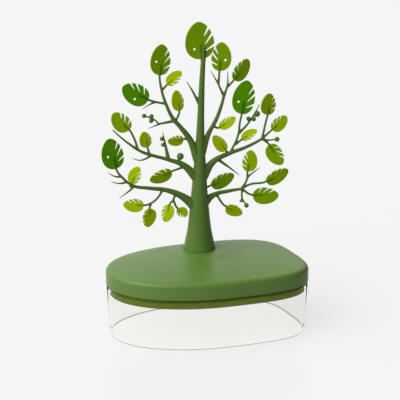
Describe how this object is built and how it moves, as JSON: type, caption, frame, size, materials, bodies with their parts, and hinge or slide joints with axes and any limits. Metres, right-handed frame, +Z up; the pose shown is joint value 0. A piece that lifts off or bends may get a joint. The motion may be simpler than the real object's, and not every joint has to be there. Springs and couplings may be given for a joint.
{
  "type": "jewelry tree",
  "caption": "Flat branching jewelry tree with clip-on slit leaves, standing on the domed lid of a clear pebble-shaped tray.",
  "frame": {"origin": "middle of the tray's flat underside", "axes": "+Z up the trunk, +X along the tray's long axis to the right, +Y towards the back"},
  "size_m": [0.2146, 0.14, 0.3236],
  "materials": {
    "clear_plastic": "clear moulded",
    "lid_green": "satin",
    "seal_olive": "soft satin",
    "tree_green": "satin",
    "leaf_dark": "satin translucent",
    "leaf_mid": "satin translucent",
    "leaf_light": "satin translucent",
    "leaf_yellow": "satin translucent",
    "screw_steel": "plain"
  },
  "bodies": {
    "tray": {"tray": "clear_plastic"},
    "lid_with_tree": {"lid": "lid_green", "seal_ring": "seal_olive", "tree": "tree_green", "screw": "screw_steel", "washer": "screw_steel", "leaf_top": "leaf_mid", "leaf_left_01": "leaf_mid", "leaf_left_02": "leaf_yellow", "leaf_left_03": "leaf_dark", "leaf_left_04": "leaf_yellow", "leaf_left_05": "leaf_light", "leaf_left_06": "leaf_yellow", "leaf_left_07": "leaf_light", "leaf_left_08": "leaf_dark", "leaf_left_09": "leaf_yellow", "leaf_left_10": "leaf_yellow", "leaf_left_11": "leaf_yellow", "leaf_left_12": "leaf_yellow", "leaf_left_13": "leaf_yellow", "leaf_left_14": "leaf_yellow", "leaf_right_01": "leaf_mid", "leaf_right_02": "leaf_mid", "leaf_right_03": "leaf_dark", "leaf_right_04": "leaf_light", "leaf_right_05": "leaf_yellow", "leaf_right_06": "leaf_yellow", "leaf_right_07": "leaf_light", "leaf_right_08": "leaf_light", "leaf_right_09": "leaf_light", "leaf_right_10": "leaf_light", "leaf_right_11": "leaf_mid", "leaf_right_12": "leaf_yellow", "leaf_right_13": "leaf_mid", "leaf_right_14": "leaf_yellow"}
  },
  "joints": [
    {"name": "lid_lift", "type": "slide", "parent": "tray", "child": "lid_with_tree", "axis": [0, 0, 1], "range_m": [0, 0.08]}
  ]
}
